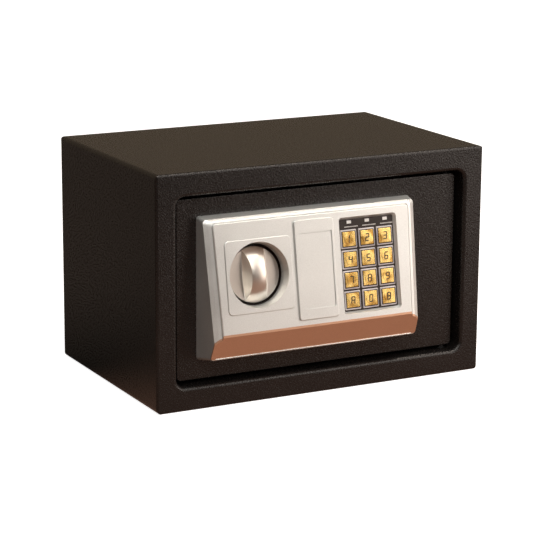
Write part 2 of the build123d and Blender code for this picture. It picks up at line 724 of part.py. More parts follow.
# ---------------------------------------------------------------- override lock and its cover
def make_key_cover():
    top = FACE_Z + COVER_OUT
    cover = on_face(RectangleRounded(COVER_W, COVER_H, 2.5), COVER_X, COVER_T, FACE_Z + 0.02, top)
    cover = fillet(outermost(cover), 0.6)
    # shallow thumb panel
    panel_x = COVER_X + 1.4
    panel_t = COVER_T - 0.9
    panel = RectangleRounded(COVER_PANEL_W, COVER_PANEL_H, 1.5)
    cover = cover - on_face(panel, panel_x, panel_t, top - COVER_PANEL_DEPTH, top + CUT)
    groove_t = panel_t + (COVER_PANEL_H - COVER_GROOVE_W) / 2
    groove = RectangleRounded(COVER_PANEL_W, COVER_GROOVE_W, 0.4)
    cover = cover - on_face(groove, panel_x, groove_t, top - COVER_GROOVE_DEPTH, top + CUT)
    for t in (-CLIP_T, CLIP_T):
        clip = on_face(RectangleRounded(9.4, 2.4, 0.6), COVER_X, COVER_T + t, FACE_Z - 4, FACE_Z + 0.1)
        cover = cover + clip
    return cover


def make_lock_cylinder():
    head = rod_y(LOCK_HEAD_R, COVER_X, LOCK_Z, LOCK_FRONT_Y, DOOR_FRONT_Y)
    thread = rod_y(LOCK_THREAD_R, COVER_X, LOCK_Z, DOOR_FRONT_Y, LOCK_BACK_Y)
    return head + thread - rod_y(PLUG_R + RUNNING, COVER_X, LOCK_Z, LOCK_FRONT_Y - CUT, LOCK_BACK_Y + CUT)


def make_lock_nut():
    plane = Plane(origin=(COVER_X, DOOR_BACK_Y, LOCK_Z), x_dir=(1, 0, 0), z_dir=(0, 1, 0))
    nut = extrude(plane * RegularPolygon(14, 6), 5)
    return nut - rod_y(LOCK_THREAD_R, COVER_X, LOCK_Z, DOOR_BACK_Y - CUT, DOOR_BACK_Y + 6)


def make_key_plug():
    plug = rod_y(PLUG_R, COVER_X, LOCK_Z, LOCK_FRONT_Y, PLUG_BACK_Y)
    return plug - span(COVER_X - 0.9, COVER_X + 0.9, LOCK_FRONT_Y - CUT, -85, LOCK_Z - 4, LOCK_Z + 4)


def make_key_cam():
    cam = span(COVER_X - PLUG_R, COVER_X + PLUG_R, PLUG_BACK_Y, CAM_BACK_Y, LOCK_Z - 20, LOCK_Z + PLUG_R)
    return fillet(cam.edges().filter_by(Axis.Y), 3)


# ---------------------------------------------------------------- keypad
def led_places():
    return [key_place(column, 0)[0] + LED_SHIFT for column in range(KEY_COLUMNS)]


def make_keypad_plate():
    low = PLATE_LEVEL - PLATE_THICK
    hole = KEY_CAP + 2 * KEY_GAP
    plate = on_face(Rectangle(WINDOW_FLOOR_W + 3, WINDOW_FLOOR_H + 3), WINDOW_X, WINDOW_T, low, PLATE_LEVEL)
    for x, t in key_places():
        plate = plate - on_face(Rectangle(hole, hole), x, t, low - CUT, PLATE_LEVEL + CUT)
    for x in led_places():
        plate = plate - on_face(Rectangle(LED_W, LED_H), x, LED_T, low - CUT, PLATE_LEVEL + CUT)
    return plate


def make_key_frames():
    frames = []
    hole = RectangleRounded(KEY_CAP + 2 * KEY_GAP, KEY_CAP + 2 * KEY_GAP, 0.5)
    for x, t in key_places():
        frame = on_face(RectangleRounded(KEY_FRAME_W, KEY_FRAME_H, 0.8), x, t,
                        PLATE_LEVEL, PLATE_LEVEL + FRAME_HIGH)
        frame = chamfer(outermost(frame), 0.5)
        frames.append(frame - on_face(hole, x, t, PLATE_LEVEL - CUT, PLATE_LEVEL + 3))
    return frames


def make_key(column, row):
    """Key cap with a round boss on its front and a flange that keeps it behind the plate."""
    x, t = key_place(column, row)
    top = PLATE_LEVEL + KEY_TOP
    cap = on_face(RectangleRounded(KEY_CAP, KEY_CAP, 0.6), x, t, FLANGE_LEVEL - 0.1, top)
    cap = fillet(outermost(cap), 0.4)
    boss = on_face(Circle(KEY_BOSS_R), x, t, top - 0.1, top + KEY_BOSS_RISE)
    boss = fillet(outermost(boss), 0.25)
    flange = Rectangle(KEY_CAP + 2 * KEY_FLANGE, KEY_CAP + 2 * KEY_FLANGE)
    return cap + boss + on_face(flange, x, t, FLANGE_LEVEL - KEY_FLANGE, FLANGE_LEVEL)


def behind_window(low, high):
    return on_face(Rectangle(WINDOW_FLOOR_W, WINDOW_FLOOR_H), WINDOW_X, WINDOW_T, low, high)


def make_dome_mat():
    return behind_window(MAT_LEVEL - DOME_MAT_THICK, MAT_LEVEL)


def make_keypad_board():
    return behind_window(PAD_BACK_LEVEL, MAT_LEVEL - DOME_MAT_THICK)


def make_led_lenses():
    lens = RectangleRounded(LED_W, LED_H, 0.4)
    return [on_face(lens, x, LED_T, PLATE_LEVEL - PLATE_THICK - 1, PLATE_LEVEL + 0.25) for x in led_places()]


# ---------------------------------------------------------------- knob and drive
def make_knob():
    """Round knob: a dome with a scoop on each side that leaves a grip bar across the middle."""
    ball_r = (KNOB_R ** 2 + KNOB_RISE ** 2) / (2 * KNOB_RISE)
    ball = Sphere(ball_r).moved(Location(axis_point(KNOB_RIM + KNOB_RISE - ball_r)))
    dome = on_face(Circle(KNOB_R), KNOB_X, KNOB_T, KNOB_BACK, KNOB_RIM + KNOB_RISE + CUT) & ball
    dome = dome & on_face(Circle(KNOB_R + CUT), KNOB_X, KNOB_T, KNOB_RIM - 0.01, KNOB_RIM + 2 * KNOB_RISE)
    knob = dome + on_face(Circle(KNOB_R), KNOB_X, KNOB_T, KNOB_BACK, KNOB_RIM)
    return knob - scoop(-1) - scoop(1)


def scoop_outline(side, height):
    """Plan of the cutter on one side of the bar, at a height above the flats."""
    reach = 30.0
    end = KNOB_R + 3
    foot = side * (BAR_FOOT - BAR_SLOPE * height)
    # the arc passes through the bar's foot at the rim and in the middle
    beyond = side * (BAR_END - (BAR_FOOT - BAR_END) * (end ** 2 / KNOB_R ** 2 - 1) - BAR_SLOPE * height)
    curve = ThreePointArc((beyond, end), (foot, 0), (beyond, -end))
    back = Polyline((beyond, -end), (side * reach, -end), (side * reach, end), (beyond, end))
    return face_plane(KNOB_X, KNOB_T, KNOB_RIM + SCOOP_LEVEL + height) * make_face(curve + back)


def scoop(side):
    """Cutter for one side of the knob: a flat floor and a sloping wall against the bar."""
    cutter = loft([scoop_outline(side, 0), scoop_outline(side, 2 * KNOB_RISE)], ruled=True)
    floor = cutter.faces().sort_by(Axis((0, 0, 0), FACE_OUT))[0]
    foot = [e for e in floor.edges() if e.geom_type != GeomType.LINE]
    return fillet(foot, SCOOP_R)


def make_knob_shaft():
    return rod(SHAFT_R, axis_point(KNOB_BACK), axis_point(CRANK_LEVEL))


def make_crank():
    """Arm on the shaft's end with an eye and a pin that drives the bolt carriage."""
    low = CRANK_LEVEL - CRANK_THICK
    angle = KNOB_TURN / 2
    hub = rod(CRANK_HUB_R, axis_point(low), axis_point(CRANK_LEVEL))
    eye = rod(CRANK_EYE_R, crank_point(angle, low), crank_point(angle, CRANK_LEVEL))
    arm = Rectangle(2 * CRANK_EYE_R, CRANK_R)
    along = Pos(CRANK_R / 2 * math.sin(math.radians(angle)), CRANK_R / 2 * math.cos(math.radians(angle)))
    web = extrude(face_plane(KNOB_X, KNOB_T, low) * along * Rot(0, 0, -angle) * arm, CRANK_THICK)
    pin = rod(CRANK_PIN_R, crank_point(angle, low - CRANK_PIN_LONG), crank_point(angle, low))
    return hub + eye + web + pin


# ---------------------------------------------------------------- bolt work
def slot_along_x(x, z, radius, travel, y0, y1):
    """Cutter for a slot along X, from x towards +X."""
    ends = rod_y(radius, x, z, y0, y1) + rod_y(radius, x + travel, z, y0, y1)
    return ends + span(x, x + travel, y0, y1, z - radius, z + radius)


def crank_slot():
    """Cutter for the upright slot that the crank pin runs in."""
    pin_x = KNOB_X + CRANK_R * math.sin(math.radians(KNOB_TURN / 2))
    half = CRANK_PIN_R + CRANK_SLOT_PLAY
    end = CRANK_PIN_R + 1.5
    middle = axis_point(CRANK_LEVEL - 8).Z
    low = middle + CRANK_R * math.cos(math.radians(KNOB_TURN / 2)) - end
    high = middle + CRANK_R + end
    return span(pin_x - half, pin_x + half, CARRIAGE_Y0 - CUT, CARRIAGE_Y1 + CUT, low, high)


def make_bolt_carriage():
    """Sliding plate with a flange that holds both bolts, two guide slots and a tooth for the solenoid."""
    plate = span(BOLT_END_X, CARRIAGE_RIGHT, CARRIAGE_Y0, CARRIAGE_Y1, CARRIAGE_LOW, CARRIAGE_HIGH)
    flange = span(BOLT_END_X, BOLT_END_X + 3, -75, CARRIAGE_Y1, CARRIAGE_LOW, CARRIAGE_HIGH)
    tooth = span(TOOTH_X, TOOTH_X + TOOTH_W, CARRIAGE_Y0, CARRIAGE_Y1, CARRIAGE_LOW - TOOTH_LONG, CARRIAGE_LOW)
    carriage = plate + flange + tooth
    for z in GUIDE_POST_ZS:
        carriage = carriage - slot_along_x(GUIDE_POST_X, z, GUIDE_POST_R + 0.4, CARRIAGE_TRAVEL + 0.4,
                                           CARRIAGE_Y0 - CUT, CARRIAGE_Y1 + CUT)
    for z in BOLT_ZS:
        carriage = carriage - rod_x(BOLT_STUB_R + 0.1, BOLT_Y, z, BOLT_END_X - CUT, BOLT_END_X + 4)
    return carriage - crank_slot()


def make_locking_bolts():
    bolts = []
    for z in BOLT_ZS:
        bolt = rod_x(BOLT_R, BOLT_Y, z, BOLT_TIP_X, BOLT_END_X)
        bolt = chamfer(bolt.edges().sort_by(Axis.X)[0], 1.2)
        stub = rod_x(BOLT_STUB_R, BOLT_Y, z, BOLT_END_X, BOLT_END_X + 9)
        # flat on the stub where the carriage plate lies against it
        flat = span(BOLT_END_X + 3, BOLT_END_X + 12, CARRIAGE_Y0 - 0.2, CARRIAGE_Y1 + 5, z - 6, z + 6)
        bolts.append(bolt + stub - flat)
    return bolts


def make_carriage_posts():
    """Shouldered studs on the door that the carriage slides along."""
    posts = []
    for z in GUIDE_POST_ZS:
        stem = rod_y(GUIDE_POST_R, GUIDE_POST_X, z, DOOR_BACK_Y, CARRIAGE_Y1 + 0.6)
        shoulder = rod_y(GUIDE_POST_R + 2, GUIDE_POST_X, z, DOOR_BACK_Y, CARRIAGE_Y0 - 0.4)
        head = rod_y(GUIDE_POST_R + 2.5, GUIDE_POST_X, z, CARRIAGE_Y1 + 0.4, CARRIAGE_Y1 + 3)
        posts.append(stem + shoulder + head)
    return posts


def solenoid_span(y0, y1, z0, z1, grow=0.0):
    return span(SOLENOID_X - SOLENOID_HALF - grow, SOLENOID_X + SOLENOID_HALF + grow, y0, y1, z0, z1)


def make_solenoid_frame():
    """Folded frame round the coil, with a foot welded to the door."""
    low = SOLENOID_LOW
    high = SOLENOID_HIGH
    inner_low = low + SOLENOID_SHEET
    inner_high = high - SOLENOID_SHEET
    frame = solenoid_span(SOLENOID_FRONT_Y, SOLENOID_BACK_Y, low, high)
    frame = frame - solenoid_span(SOLENOID_FRONT_Y - CUT, SOLENOID_BACK_Y + CUT, inner_low, inner_high, CUT)
    frame = frame + solenoid_span(SOLENOID_FRONT_Y, SOLENOID_FRONT_Y + 1.5, low, high)
    foot = solenoid_span(DOOR_BACK_Y, SOLENOID_FRONT_Y, low + 1, low + 3)
    foot = foot + solenoid_span(DOOR_BACK_Y, DOOR_BACK_Y + SOLENOID_SHEET, low + 3, high - 3)
    bore = rod_z(PLUNGER_R + RUNNING, SOLENOID_X, SOLENOID_Y, inner_low, high + CUT)
    return frame + foot - bore


def make_solenoid_coil():
    low = SOLENOID_LOW + SOLENOID_SHEET
    high = SOLENOID_HIGH - SOLENOID_SHEET
    coil = rod_z(COIL_R, SOLENOID_X, SOLENOID_Y, low, high)
    return coil - rod_z(PLUNGER_R + RUNNING, SOLENOID_X, SOLENOID_Y, low - CUT, high + CUT)


def make_solenoid_plunger():
    plunger = rod_z(PLUNGER_R, SOLENOID_X, SOLENOID_Y, SOLENOID_LOW + 4, PLUNGER_TOP)
    return chamfer(plunger.edges().sort_by(Axis.Z)[-1], 0.8)


# ---------------------------------------------------------------- electronics
def make_control_board():
    """Circuit board with two chips on it and a tab that carries the reset switch."""
    board = span(20, 94, BOARD_Y0, BOARD_Y1, 112, 160) + span(92, 108, BOARD_Y0, BOARD_Y1, 140, 156)
    for x, z in ((40, 135), (66, 143)):
        board = board + span(x, x + 10, BOARD_Y1, BOARD_Y1 + 3, z, z + 10)
    return board


def make_board_posts():
    return [rod_y(2.5, x, z, DOOR_BACK_Y, BOARD_Y0) for x, z in ((25, 155), (88, 155), (88, 117))]


def make_reset_switch():
    body = span(RESET_X - RESET_HALF, RESET_X + RESET_HALF, BOARD_Y1, -60,
                RESET_Z - RESET_HALF, RESET_Z + RESET_HALF)
    return body - rod_y(RESET_STEM_R + RUNNING, RESET_X, RESET_Z, -66, -60 + CUT)


def make_reset_button():
    stem = rod_y(RESET_STEM_R, RESET_X, RESET_Z, -64.2, -57)
    cap = rod_y(RESET_CAP_R, RESET_X, RESET_Z, -57, MECH_BACK_Y + 2)
    return stem + fillet(cap.edges().sort_by(Axis.Y)[-1], 1.0)


def battery_span(inset, y0, y1):
    """Block over the battery box's outline, set in by some distance."""
    return span(BATTERY_X0 + inset, BATTERY_X1 - inset, y0, y1, BATTERY_Z0 + inset, BATTERY_Z1 - inset)


def make_battery_box():
    box = battery_span(0, BATTERY_FLOOR_Y, MECH_BACK_Y)
    box = box - battery_span(BATTERY_WALL, BATTERY_FLOOR_Y + BATTERY_WALL, MECH_BACK_Y + CUT)
    return box - battery_span(BATTERY_WALL / 2, MECH_BACK_Y - BATTERY_LID_DEEP, MECH_BACK_Y + CUT)


def cell_rows():
    """Height of each cell, its flat end's wall, its spring's wall and the way from the first to the second."""
    middle = (BATTERY_Z0 + BATTERY_Z1) / 2
    left = BATTERY_X0 + BATTERY_WALL
    right = BATTERY_X1 - BATTERY_WALL
    rows = []
    for i in range(4):
        z = middle + (i - 1.5) * CELL_PITCH
        rows.append((z, left, right, 1) if i % 2 == 0 else (z, right, left, -1))
    return rows


def make_batteries():
    cells = []
    for z, wall, _, way in cell_rows():
        start = wall + way * 0.6
        can = rod_x(CELL_R, CELL_Y, z, start + way * CELL_NUB_LONG, start + way * CELL_LONG)
        cells.append(can + rod_x(CELL_NUB_R, CELL_Y, z, start, start + way * CELL_NUB_LONG))
    return cells


def contact_pad(x, way, z):
    x0, x1 = sorted((x, x + way * CONTACT_THICK))
    return span(x0, x1, CELL_Y - CONTACT_HALF, CELL_Y + CONTACT_HALF, z - CONTACT_HALF, z + CONTACT_HALF)


def make_battery_contacts():
    """Flat plate at one end of each cell, plate with a conical spring at the other."""
    contacts = []
    for z, flat_x, spring_x, way in cell_rows():
        contacts.append(contact_pad(flat_x, way, z))
        room = abs(spring_x - flat_x) - 2 * 0.6 - CELL_LONG
        plane = Plane(origin=(spring_x - way * CONTACT_THICK, CELL_Y, z), z_dir=(-way, 0, 0))
        contacts.append(contact_pad(spring_x, -way, z) + extrude(plane * Circle(5.5), room, taper=12))
    return contacts


def make_battery_cover():
    """Lid with a row of finger grooves."""
    plate = battery_span(BATTERY_WALL / 2 + 0.2, MECH_BACK_Y - BATTERY_LID_DEEP + 0.1, MECH_BACK_Y + 0.4)
    plate = fillet(plate.edges().filter_by(Axis.Y), 1.5)
    middle = (BATTERY_X0 + BATTERY_X1) / 2
    for i in range(4):
        z = BATTERY_Z1 - 14 + i * 2.6
        plate = plate - span(middle - 10, middle + 10, MECH_BACK_Y - 0.3, MECH_BACK_Y + CUT, z, z + 1.3)
    return plate


def lead(points, radii, radius):
    """Insulated wire along straight runs joined by arcs."""
    path = FilletPolyline(*points, radius=radii)
    section = Plane(origin=path @ 0, z_dir=path % 0) * Circle(radius)
    return sweep(section, path)


def keypad_back_y(z):
    """Depth of the keypad board's rear side at a height."""
    base = FACE_MID + FACE_OUT * PAD_BACK_LEVEL
    return base.Y + FACE_UP.Y * (z - base.Z) / FACE_UP.Z


def make_wire_harness():
    """Keypad lead, solenoid lead and battery lead, along their clipped routes."""
    x = HARNESS_HOLE_X
    z = HARNESS_HOLE_Z
    keypad = lead([(x, keypad_back_y(z) + 1.2, z), (x, -84, z), (x + 8, -79, z + 10), (x + 8, BOARD_Y0, z + 10)],
                  [3.5, 3.5], KEYPAD_LEAD_R)
    coil_side = SOLENOID_X + COIL_R
    solenoid = lead([(26, BOARD_Y0, 120), (26, -80, 120), (8, -80, 70), (-18, -76, 44), (-38, SOLENOID_Y, 40),
                     (coil_side, SOLENOID_Y, 40)], [3.5, 12, 12, 5], THIN_LEAD_R)
    battery = lead([(80, -62, BATTERY_Z1), (80, -62, 108), (80, -66, 116), (80, BOARD_Y1, 116)],
                   [3, 3], THIN_LEAD_R)
    return [keypad, solenoid, battery]


# ---------------------------------------------------------------- write every node
save("body_shell", make_body_shell())
save("rear_panel", make_rear_panel())
save("hinge_bushes", make_hinge_bushes())
save("floor_mat", make_floor_mat())
save("door_plate", make_door_plate())
save("hinge_brackets", make_hinge_brackets())
save("hinge_pins", make_hinge_pins())
save("bolt_guide", make_bolt_guide())
save("mechanism_cover", make_mechanism_cover())
save("cover_posts", make_cover_posts())
save("cover_screws", make_cover_screws())
bezel_blank = make_bezel_blank()
save("bezel_housing", make_bezel_housing(bezel_blank))
save("bezel_trim_strip", make_trim_strip(bezel_blank))
save("knob_seat", make_knob_seat())
save("bezel_screws", make_bezel_screws())
save("spindle_bush", make_spindle_bush())
save("key_cover", make_key_cover())
save("lock_cylinder", make_lock_cylinder())
save("lock_nut", make_lock_nut())
save("key_plug", make_key_plug())
save("key_cam", make_key_cam())
save("keypad_plate", make_keypad_plate())
save("key_frames", make_key_frames())
save("led_lenses", make_led_lenses())
save("dome_mat", make_dome_mat())
save("keypad_board", make_keypad_board())
for row_index, names in enumerate(KEY_NAMES):
    for column_index, key_name in enumerate(names):
        save(f"key_{key_name}", make_key(column_index, row_index))
save("knob", make_knob())
save("knob_shaft", make_knob_shaft())
save("crank", make_crank())
save("bolt_carriage", make_bolt_carriage())
save("locking_bolts", make_locking_bolts())
save("carriage_posts", make_carriage_posts())
save("solenoid_frame", make_solenoid_frame())
save("solenoid_coil", make_solenoid_coil())
save("solenoid_plunger", make_solenoid_plunger())
save("control_board", make_control_board())
save("board_posts", make_board_posts())
save("reset_switch", make_reset_switch())
save("reset_button", make_reset_button())
save("battery_box", make_battery_box())
save("batteries", make_batteries())
save("battery_contacts", make_battery_contacts())
save("battery_cover", make_battery_cover())
save("wire_harness", make_wire_harness())
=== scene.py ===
import bpy
import bmesh
import json
import math
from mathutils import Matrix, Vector, geometry, noise


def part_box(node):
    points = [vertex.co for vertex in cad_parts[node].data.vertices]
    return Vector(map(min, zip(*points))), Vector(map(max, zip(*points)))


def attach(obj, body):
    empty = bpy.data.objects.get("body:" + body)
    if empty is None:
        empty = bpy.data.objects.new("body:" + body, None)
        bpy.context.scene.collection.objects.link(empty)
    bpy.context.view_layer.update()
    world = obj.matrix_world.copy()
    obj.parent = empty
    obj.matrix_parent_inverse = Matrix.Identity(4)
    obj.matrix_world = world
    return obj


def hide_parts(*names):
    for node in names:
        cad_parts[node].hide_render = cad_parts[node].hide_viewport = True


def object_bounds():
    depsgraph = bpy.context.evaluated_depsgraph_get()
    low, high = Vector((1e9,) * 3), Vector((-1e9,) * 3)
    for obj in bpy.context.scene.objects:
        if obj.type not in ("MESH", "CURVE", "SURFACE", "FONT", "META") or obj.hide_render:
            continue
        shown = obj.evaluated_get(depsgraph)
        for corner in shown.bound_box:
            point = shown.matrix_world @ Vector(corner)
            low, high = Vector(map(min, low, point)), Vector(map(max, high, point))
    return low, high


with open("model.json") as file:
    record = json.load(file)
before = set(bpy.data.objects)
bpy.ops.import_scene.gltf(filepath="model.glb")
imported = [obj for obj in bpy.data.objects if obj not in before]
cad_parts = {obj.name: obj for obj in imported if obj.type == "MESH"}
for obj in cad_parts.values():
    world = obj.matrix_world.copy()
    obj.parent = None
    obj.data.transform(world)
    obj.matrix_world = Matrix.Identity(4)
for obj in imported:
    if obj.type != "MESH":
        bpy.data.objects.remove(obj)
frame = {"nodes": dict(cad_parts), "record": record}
cad_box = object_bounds()
nodes = frame["nodes"]
record = frame["record"]
joints = {j["name"]: j for j in record["behaviour"]["joints"]}

# directions of the leaning face, from the knob's axis
FACE_OUT = Vector(joints["knob_turn"]["axis"]).normalized()
FACE_X = Vector((1, 0, 0))
FACE_UP = FACE_OUT.cross(FACE_X).normalized()


# ---------------------------------------------------------------- camera
LENS_MM = 144.7
CAMERA_PLACE = (-0.85059, -1.62604, 0.52836)
CAMERA_TURN_DEGREES = (76.49587, -0.30708, -27.46512)


def make_camera():
    data = bpy.data.cameras.new("camera")
    data.sensor_width = 36.0
    data.lens = LENS_MM
    data.clip_start = 0.05
    data.clip_end = 50.0
    camera = bpy.data.objects.new("camera", data)
    bpy.context.scene.collection.objects.link(camera)
    camera.location = CAMERA_PLACE
    camera.rotation_euler = [math.radians(a) for a in CAMERA_TURN_DEGREES]
    bpy.context.scene.camera = camera


make_camera()


# ---------------------------------------------------------------- material helpers
class Shader:
    """A material with a Principled shader and short calls that add texture nodes to it."""

    def __init__(self, name, colour, roughness, metallic=0.0, **sockets):
        self.material = bpy.data.materials.new(name)
        self.material.use_nodes = True
        self.tree = self.material.node_tree
        self.bsdf = self.tree.nodes["Principled BSDF"]
        self.bsdf.inputs["Base Color"].default_value = (*colour, 1)
        self.bsdf.inputs["Roughness"].default_value = roughness
        self.bsdf.inputs["Metallic"].default_value = metallic
        for socket, value in sockets.items():
            self.bsdf.inputs[socket.replace("_", " ")].default_value = value
        self.coords = self.tree.nodes.new("ShaderNodeTexCoord").outputs["Object"]
        self.normal = None

    def stretched(self, scale, turn=(0, 0, 0)):
        """Coordinates scaled by axis, for patterns with a direction."""
        node = self.tree.nodes.new("ShaderNodeMapping")
        node.inputs["Scale"].default_value = scale
        node.inputs["Rotation"].default_value = turn
        self.tree.links.new(self.coords, node.inputs["Vector"])
        return node.outputs["Vector"]

    def noise(self, scale, detail=2.0, rough=0.5, coords=None):
        node = self.tree.nodes.new("ShaderNodeTexNoise")
        node.inputs["Scale"].default_value = scale
        node.inputs["Detail"].default_value = detail
        node.inputs["Roughness"].default_value = rough
        self.tree.links.new(coords or self.coords, node.inputs["Vector"])
        return node.outputs["Fac"]

    def ramp(self, value, stops):
        """Colours by value, from (place, colour) stops."""
        node = self.tree.nodes.new("ShaderNodeValToRGB")
        ramp = node.color_ramp
        while len(ramp.elements) < len(stops):
            ramp.elements.new(0.5)
        for element, (place, colour) in zip(ramp.elements, stops):
            element.position = place
            element.color = (*colour, 1)
        self.tree.links.new(value, node.inputs["Fac"])
        return node.outputs["Color"]

    def spread(self, value, low, high, start=0.3, end=0.7):
        """Maps a value between start and end onto low to high."""
        node = self.tree.nodes.new("ShaderNodeMapRange")
        node.inputs["From Min"].default_value = start
        node.inputs["From Max"].default_value = end
        node.inputs["To Min"].default_value = low
        node.inputs["To Max"].default_value = high
        self.tree.links.new(value, node.inputs["Value"])
        return node.outputs["Result"]

    def bump(self, height, strength, distance):
        """Adds a bump on top of those added before it."""
        node = self.tree.nodes.new("ShaderNodeBump")
        node.inputs["Strength"].default_value = strength
        node.inputs["Distance"].default_value = distance
        self.tree.links.new(height, node.inputs["Height"])
        if self.normal:
            self.tree.links.new(self.normal, node.inputs["Normal"])
        self.normal = node.outputs["Normal"]
        self.tree.links.new(self.normal, self.bsdf.inputs["Normal"])

    def drive(self, socket, value):
        self.tree.links.new(value, self.bsdf.inputs[socket])


def tints(colour, *factors):
    """Darker and lighter versions of a colour."""
    return [tuple(min(1.0, c * f) for c in colour) for f in factors]


# ---------------------------------------------------------------- materials
def powder_coat(name, colour, roughness=0.27):
    """Textured powder coat: small close bumps, slight mottling."""
    s = Shader(name, colour, roughness, Specular_IOR_Level=0.42)
    grain = s.noise(760, 2.5, 0.6)
    dark, light = tints(colour, 0.85, 1.2)
    s.drive("Base Color", s.ramp(s.noise(45, 4.0, 0.6), [(0.35, dark), (0.68, light)]))
    s.drive("Roughness", s.spread(grain, roughness + 0.09, roughness - 0.07, 0.38, 0.62))
    s.bump(grain, 0.5, 0.0007)
    return s.material


def satin_paint(name, colour, roughness=0.5):
    """Smooth thin paint on the sheet metal inside the door."""
    s = Shader(name, colour, roughness)
    dark, light = tints(colour, 0.85, 1.2)
    s.drive("Base Color", s.ramp(s.noise(30, 3.0), [(0.35, dark), (0.65, light)]))
    s.bump(s.noise(900, 2.0), 0.12, 0.0003)
    return s.material


def metallic_paint(name, colour, roughness, metallic):
    """Fine flake paint on moulded plastic."""
    s = Shader(name, colour, roughness, metallic)
    dark, light = tints(colour, 0.93, 1.05)
    s.drive("Base Color", s.ramp(s.noise(2600, 1.0), [(0.38, dark), (0.62, light)]))
    s.drive("Roughness", s.spread(s.noise(35, 3.0), roughness - 0.04, roughness + 0.05))
    s.bump(s.noise(1800, 2.0), 0.05, 0.0002)
    return s.material


def brushed(name, colour, roughness, scale, strength=0.12, contrast=0.14):
    """Metal with fine lines along one direction."""
    s = Shader(name, colour, roughness, 1.0)
    lines = s.noise(1.0, 3.0, 0.6, s.stretched(scale))
    dark, light = tints(colour, 1 - contrast, 1 + contrast / 2)
    s.drive("Base Color", s.ramp(lines, [(0.3, dark), (0.7, light)]))
    s.drive("Roughness", s.spread(lines, roughness - contrast / 2, roughness + contrast / 2))
    s.bump(lines, strength, 0.0002)
    return s.material


def turned(name, colour, roughness):
    """Machined or wound metal with fine marks."""
    s = Shader(name, colour, roughness, 1.0)
    marks = s.noise(2400, 3.0)
    s.drive("Roughness", s.spread(marks, roughness - 0.04, roughness + 0.08))
    dark, light = tints(colour, 0.85, 1.05)
    s.drive("Base Color", s.ramp(s.noise(160, 3.0), [(0.35, dark), (0.6, light)]))
    s.bump(marks, 0.03, 0.0001)
    return s.material


def hammered(name, colour, hollow_shade, roughness):
    """Plated metal with soft dents, and painted shade that darkens the hollows of the dents."""
    s = Shader(name, colour, roughness, 1.0)
    dents = s.noise(115, 1.0)
    # painted shade: the base colour turns darker in the hollows of the bumped dents
    s.drive("Base Color", s.ramp(dents, [(0.36, hollow_shade), (0.53, colour)]))
    s.drive("Roughness", s.spread(s.noise(1500, 2.0), roughness - 0.04, roughness + 0.06))
    s.bump(dents, 0.3, 0.0008)
    return s.material


def moulded(name, colour, roughness, grain=1500, strength=0.1, **sockets):
    """Moulded plastic or rubber, lightly grained."""
    s = Shader(name, colour, roughness, **sockets)
    dark, light = tints(colour, 0.85, 1.12)
    s.drive("Base Color", s.ramp(s.noise(80, 3.0), [(0.35, dark), (0.65, light)]))
    s.bump(s.noise(grain, 2.0), strength, 0.0002)
    return s.material


def felt(name, colour):
    """Needled felt: two crossing directions of fibres and a soft sheen."""
    s = Shader(name, colour, 0.95, Sheen_Weight=0.35, Sheen_Roughness=0.6)
    fibres = s.noise(1.0, 4.0, 0.7, s.stretched((1400, 420, 900), (0, 0, 0.6)))
    cross = s.noise(1.0, 4.0, 0.7, s.stretched((380, 1500, 900), (0, 0, -0.4)))
    dark, light = tints(colour, 0.55, 1.7)
    s.drive("Base Color", s.ramp(fibres, [(0.35, dark), (0.7, light)]))
    s.bump(fibres, 0.5, 0.0008)
    s.bump(cross, 0.5, 0.0008)
    return s.material


BLACK_PAINT = (0.0075, 0.0063, 0.0060)
SILVER = (0.736, 0.761, 0.748)
KNOB_SILVER = (0.70, 0.655, 0.60)
GOLD = (0.90, 0.65, 0.23)
# painted shade for the hollows of the gold keys' dents
GOLD_PAINTED_SHADE = (0.55, 0.32, 0.08)
look = {
    "steel_shell": powder_coat("steel_shell_look", BLACK_PAINT),
    "steel_rear": powder_coat("steel_rear_look", BLACK_PAINT),
    "steel_door": powder_coat("steel_door_look", BLACK_PAINT),
    "steel_inner": satin_paint("steel_inner_look", (0.035, 0.034, 0.034)),
    "zinc_steel": brushed("zinc_steel_look", (0.62, 0.61, 0.57), 0.38, (60, 60, 900)),
    "bolt_steel": brushed("bolt_steel_look", (0.75, 0.75, 0.74), 0.16, (40, 1500, 1500)),
    "brass_fit": turned("brass_fit_look", (0.62, 0.45, 0.18), 0.3),
    "carpet": felt("carpet_look", (0.05, 0.05, 0.055)),
    "silver_plastic": metallic_paint("silver_plastic_look", SILVER, 0.40, 0.78),
    "copper_strip": metallic_paint("copper_strip_look", (0.62, 0.36, 0.235), 0.34, 0.6),
    "knob_metal": brushed("knob_metal_look", KNOB_SILVER, 0.36, (4200, 70, 70), 0.015, 0.05),
    "key_gold": hammered("key_gold_look", GOLD, GOLD_PAINTED_SHADE, 0.28),
    "key_grey": moulded("key_grey_look", (0.56, 0.53, 0.54), 0.35),
    "pad_black": moulded("pad_black_look", (0.024, 0.017, 0.014), 0.4, Specular_IOR_Level=0.32),
    "lens_white": moulded("lens_white_look", (0.80, 0.80, 0.78), 0.25),
    "silicone": moulded("silicone_look", (0.30, 0.30, 0.31), 0.6),
    "circuit_green": moulded("circuit_green_look", (0.02, 0.12, 0.05), 0.35),
    "coil_copper": turned("coil_copper_look", (0.45, 0.20, 0.09), 0.35),
    "black_plastic": moulded("black_plastic_look", (0.03, 0.03, 0.03), 0.5, 1100, 0.25),
    "red_plastic": moulded("red_plastic_look", (0.55, 0.03, 0.02), 0.3),
    "cell_wrap": moulded("cell_wrap_look", (0.05, 0.05, 0.06), 0.3),
    "wire_skin": moulded("wire_skin_look", (0.10, 0.10, 0.10), 0.5),
}
for part in record["subparts"]:
    mesh = nodes[part["node"]].data
    mesh.materials.clear()
    mesh.materials.append(look[part["material_slot"]])


